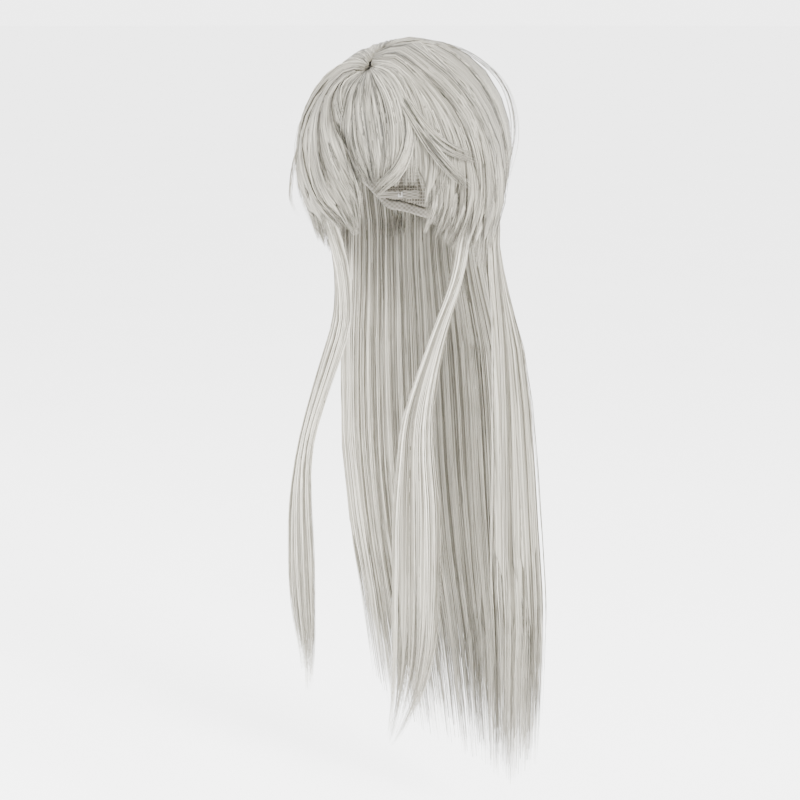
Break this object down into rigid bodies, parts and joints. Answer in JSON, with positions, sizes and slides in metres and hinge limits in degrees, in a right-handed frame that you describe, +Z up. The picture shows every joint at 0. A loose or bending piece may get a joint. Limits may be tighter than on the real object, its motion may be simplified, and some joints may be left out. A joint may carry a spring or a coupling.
{
  "type": "costume wig",
  "caption": "Long layered silver-ash costume wig on a net cap, with a swept fringe, face-framing locks, long front sidelocks and waist-length back hair.",
  "frame": {"origin": "middle of the wearer's head at the level of the tops of the ears, which is where the wig is held", "axes": "+Z up, -Y towards the face side, +X towards the wearer's left"},
  "size_m": [0.2433, 0.2767, 0.8878],
  "materials": {
    "hair": "silver-ash synthetic hair, soft sheen",
    "hair_layers": "ash synthetic hair, soft sheen",
    "hair_inner": "taupe-ash synthetic hair, soft sheen",
    "net": "knitted net, matt",
    "ribbon": "woven ribbon, matt",
    "elastic": "covered elastic, matt",
    "skin": "skin-coloured soft film, matt",
    "weft_thread": "sewn weft, matt",
    "clear_hook": "translucent moulded hook"
  },
  "bodies": {
    "cap": {"cap_crown_net": "net", "cap_front_panel": "net", "cap_left_panel": "net", "cap_right_panel": "net", "cap_back_panel": "net", "cap_nape_panel": "net", "edge_ribbon": "ribbon", "nape_elastic": "elastic", "ear_tab_left": "net", "ear_tab_stay_left": "ribbon", "ear_tab_right": "net", "ear_tab_stay_right": "ribbon", "skin_top": "skin", "weft_back_1": "weft_thread", "weft_back_2": "weft_thread", "weft_back_3": "weft_thread", "weft_left": "weft_thread", "weft_right": "weft_thread", "crown_front_right": "hair", "crown_right": "hair", "crown_back_right": "hair", "crown_back_left": "hair", "crown_left": "hair", "crown_front_left": "hair", "fringe_root_right": "hair", "fringe_root_centre": "hair", "fringe_root_left": "hair", "face_lock_front_left": "hair_layers", "face_lock_side_left": "hair_layers", "side_layer_front_left": "hair_layers", "side_layer_back_left": "hair_layers", "face_lock_front_right": "hair_layers", "face_lock_side_right": "hair_layers", "side_layer_front_right": "hair_layers", "side_layer_back_right": "hair_layers", "back_layer_left": "hair_layers", "back_layer_right": "hair_layers", "long_lock_root_left": "hair_layers", "long_lock_root_right": "hair_layers", "loop_tape_left": "net", "loop_tape_right": "net", "loose_strand_crown": "hair", "loose_strand_side": "hair"},
    "fringe_hair": {"fringe_right_side": "hair", "fringe_right": "hair", "fringe_centre": "hair", "fringe_left": "hair", "fringe_left_sweep": "hair"},
    "long_lock_left_hair": {"long_lock_left": "hair"},
    "long_lock_right_hair": {"long_lock_right": "hair"},
    "back_hair": {"back_hair_far_left": "hair_inner", "back_hair_left": "hair_inner", "back_hair_centre": "hair_inner", "back_hair_right": "hair_inner", "back_hair_far_right": "hair_inner"},
    "strap_left_slider": {"strap_left": "ribbon", "hook_left": "clear_hook"},
    "strap_right_slider": {"strap_right": "ribbon", "hook_right": "clear_hook"}
  },
  "joints": [
    {"name": "fringe_swing", "type": "hinge", "parent": "cap", "child": "fringe_hair", "pos_m": [0, -0.094, 0.0665], "axis": [1, 0, 0], "range_deg": [-35, 0]},
    {"name": "long_lock_left_swing", "type": "hinge", "parent": "cap", "child": "long_lock_left_hair", "pos_m": [0.0725, -0.04, -0.096], "axis": [1, 0, 0], "range_deg": [-50, 0]},
    {"name": "long_lock_right_swing", "type": "hinge", "parent": "cap", "child": "long_lock_right_hair", "pos_m": [-0.0565, -0.042, -0.096], "axis": [1, 0, 0], "range_deg": [-50, 0]},
    {"name": "back_hair_swing", "type": "hinge", "parent": "cap", "child": "back_hair", "pos_m": [0, 0.1, -0.096], "axis": [1, 0, 0], "range_deg": [0, 40]},
    {"name": "strap_left_adjust", "type": "slide", "parent": "cap", "child": "strap_left_slider", "axis": [0.8706, -0.4921, 0], "range_m": [0, 0.016]},
    {"name": "strap_right_adjust", "type": "slide", "parent": "cap", "child": "strap_right_slider", "axis": [-0.8706, -0.4921, 0], "range_m": [0, 0.016]}
  ]
}
